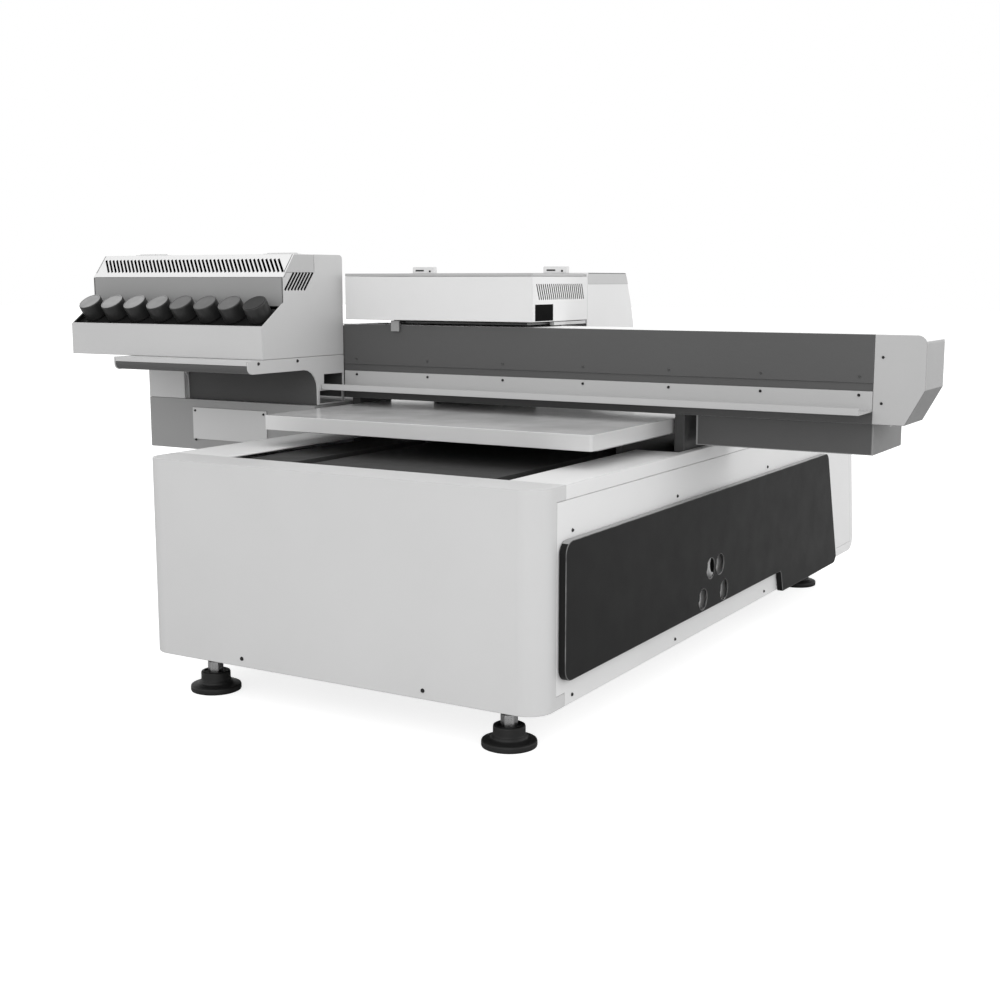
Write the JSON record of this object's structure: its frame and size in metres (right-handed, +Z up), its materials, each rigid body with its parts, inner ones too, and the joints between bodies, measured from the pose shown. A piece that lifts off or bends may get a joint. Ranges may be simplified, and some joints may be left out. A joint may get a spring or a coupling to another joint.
{
  "type": "flatbed uv printer",
  "caption": "Flatbed UV printer: low box base on levelling feet, sliding flat bed, fixed gantry with a travelling print carriage, and a side ink station with a row of screw caps.",
  "frame": {"origin": "on the floor under the middle of the whole machine's footprint box, feet at rest height", "axes": "+Z up, +X to the right along the gantry seen from the operator's side, +Y to the rear along the bed's travel"},
  "size_m": [1.639, 1.5396, 0.747],
  "materials": {
    "white_paint": "satin white powder coat",
    "light_grey_paint": "satin light grey powder coat",
    "mid_grey_paint": "satin mid grey paint",
    "dark_paint": "fine-textured dark grey powder coat",
    "black_plastic": "satin black",
    "rubber": "matt black",
    "steel": "ground steel",
    "aluminium": "satin anodised"
  },
  "bodies": {
    "base": {"base_frame": "dark_paint", "front_panel": "light_grey_paint", "rear_panel": "white_paint", "side_panel_right": "white_paint", "side_panel_left": "white_paint", "side_cover_right": "black_plastic", "side_cover_left": "black_plastic", "deck_plate": "white_paint", "dust_cover_left": "dark_paint", "dust_cover_centre": "dark_paint", "power_inlet": "black_plastic", "y_rail_left": "steel", "y_rail_right": "steel", "y_motor": "black_plastic", "upright_right": "dark_paint", "upright_left": "dark_paint", "beam": "aluminium", "beam_end_plate": "light_grey_paint", "beam_cover": "dark_paint", "beam_channel": "light_grey_paint", "beam_end_cap": "light_grey_paint", "housing_right": "mid_grey_paint", "housing_left": "mid_grey_paint", "beam_end_housing": "light_grey_paint", "access_plate": "white_paint", "station_shell": "light_grey_paint", "station_arm_left": "light_grey_paint", "station_arm_right": "light_grey_paint", "station_shelf": "light_grey_paint", "drip_tray": "dark_paint", "belly_panel": "dark_paint", "recess_panel": "mid_grey_paint", "bottle_rack": "black_plastic", "x_rail": "steel"},
    "bed": {"bed_table": "aluminium", "bed_underplate": "light_grey_paint", "bed_saddle": "mid_grey_paint", "y_slider_left": "steel", "y_slider_right": "steel"},
    "screw": {"ball_screw": "steel"},
    "carriage": {"carriage_plate": "dark_paint", "carriage_cover": "white_paint", "carriage_rear_cover": "white_paint"},
    "head": {"head_block": "aluminium", "uv_lamp": "dark_paint"},
    "carriage_lid": {"carriage_lid": "light_grey_paint"},
    "station_lid": {"station_lid": "white_paint"},
    "capping": {"capping_pad": "rubber"},
    "cap_1": {"ink_cap_1": "black_plastic"},
    "cap_2": {"ink_cap_2": "black_plastic"},
    "cap_3": {"ink_cap_3": "black_plastic"},
    "cap_4": {"ink_cap_4": "black_plastic"},
    "cap_5": {"ink_cap_5": "black_plastic"},
    "cap_6": {"ink_cap_6": "black_plastic"},
    "cap_7": {"ink_cap_7": "black_plastic"},
    "cap_8": {"ink_cap_8": "black_plastic"},
    "foot_front_left": {"foot_front_left": "rubber"},
    "foot_front_right": {"foot_front_right": "rubber"},
    "foot_rear_left": {"foot_rear_left": "rubber"},
    "foot_rear_right": {"foot_rear_right": "rubber"}
  },
  "joints": [
    {"name": "bed_slide", "type": "slide", "parent": "base", "child": "bed", "axis": [0, 1, 0], "range_m": [-0.36, 0.5]},
    {"name": "screw_turn", "type": "hinge", "parent": "base", "child": "screw", "pos_m": [0.0615, -0.7698, 0.237], "axis": [0, 1, 0], "range_deg": [-6480, 9000]},
    {"name": "carriage_slide", "type": "slide", "parent": "base", "child": "carriage", "axis": [1, 0, 0], "range_m": [0, 0.65]},
    {"name": "head_lift", "type": "slide", "parent": "carriage", "child": "head", "axis": [0, 0, 1], "range_m": [0, 0.025]},
    {"name": "carriage_lid_hinge", "type": "hinge", "parent": "carriage", "child": "carriage_lid", "pos_m": [-0.1005, -0.0348, 0.711], "axis": [-1, 0, 0], "range_deg": [0, 95]},
    {"name": "station_lid_hinge", "type": "hinge", "parent": "base", "child": "station_lid", "pos_m": [-0.57275, -0.3188, 0.747], "axis": [-1, 0, 0], "range_deg": [0, 100]},
    {"name": "capping_lift", "type": "slide", "parent": "base", "child": "capping", "axis": [0, 0, 1], "range_m": [0, 0.01]},
    {"name": "cap_1_turn", "type": "hinge", "parent": "base", "child": "cap_1", "pos_m": [-0.78625, -0.4578, 0.657], "axis": [0, -0.5693, 0.8221], "continuous": true},
    {"name": "cap_2_turn", "type": "hinge", "parent": "base", "child": "cap_2", "pos_m": [-0.72525, -0.4578, 0.657], "axis": [0, -0.5693, 0.8221], "continuous": true},
    {"name": "cap_3_turn", "type": "hinge", "parent": "base", "child": "cap_3", "pos_m": [-0.66425, -0.4578, 0.657], "axis": [0, -0.5693, 0.8221], "continuous": true},
    {"name": "cap_4_turn", "type": "hinge", "parent": "base", "child": "cap_4", "pos_m": [-0.60325, -0.4578, 0.657], "axis": [0, -0.5693, 0.8221], "continuous": true},
    {"name": "cap_5_turn", "type": "hinge", "parent": "base", "child": "cap_5", "pos_m": [-0.54225, -0.4578, 0.657], "axis": [0, -0.5693, 0.8221], "continuous": true},
    {"name": "cap_6_turn", "type": "hinge", "parent": "base", "child": "cap_6", "pos_m": [-0.48125, -0.4578, 0.657], "axis": [0, -0.5693, 0.8221], "continuous": true},
    {"name": "cap_7_turn", "type": "hinge", "parent": "base", "child": "cap_7", "pos_m": [-0.42025, -0.4578, 0.657], "axis": [0, -0.5693, 0.8221], "continuous": true},
    {"name": "cap_8_turn", "type": "hinge", "parent": "base", "child": "cap_8", "pos_m": [-0.35925, -0.4578, 0.657], "axis": [0, -0.5693, 0.8221], "continuous": true},
    {"name": "foot_front_left_level", "type": "slide", "parent": "base", "child": "foot_front_left", "axis": [0, 0, -1], "range_m": [-0.01, 0.02]},
    {"name": "foot_front_right_level", "type": "slide", "parent": "base", "child": "foot_front_right", "axis": [0, 0, -1], "range_m": [-0.01, 0.02]},
    {"name": "foot_rear_left_level", "type": "slide", "parent": "base", "child": "foot_rear_left", "axis": [0, 0, -1], "range_m": [-0.01, 0.02]},
    {"name": "foot_rear_right_level", "type": "slide", "parent": "base", "child": "foot_rear_right", "axis": [0, 0, -1], "range_m": [-0.01, 0.02]}
  ],
  "couplings": [
    {"joint": "screw_turn", "follows": "bed_slide", "rad_per_m": 314.16}
  ]
}
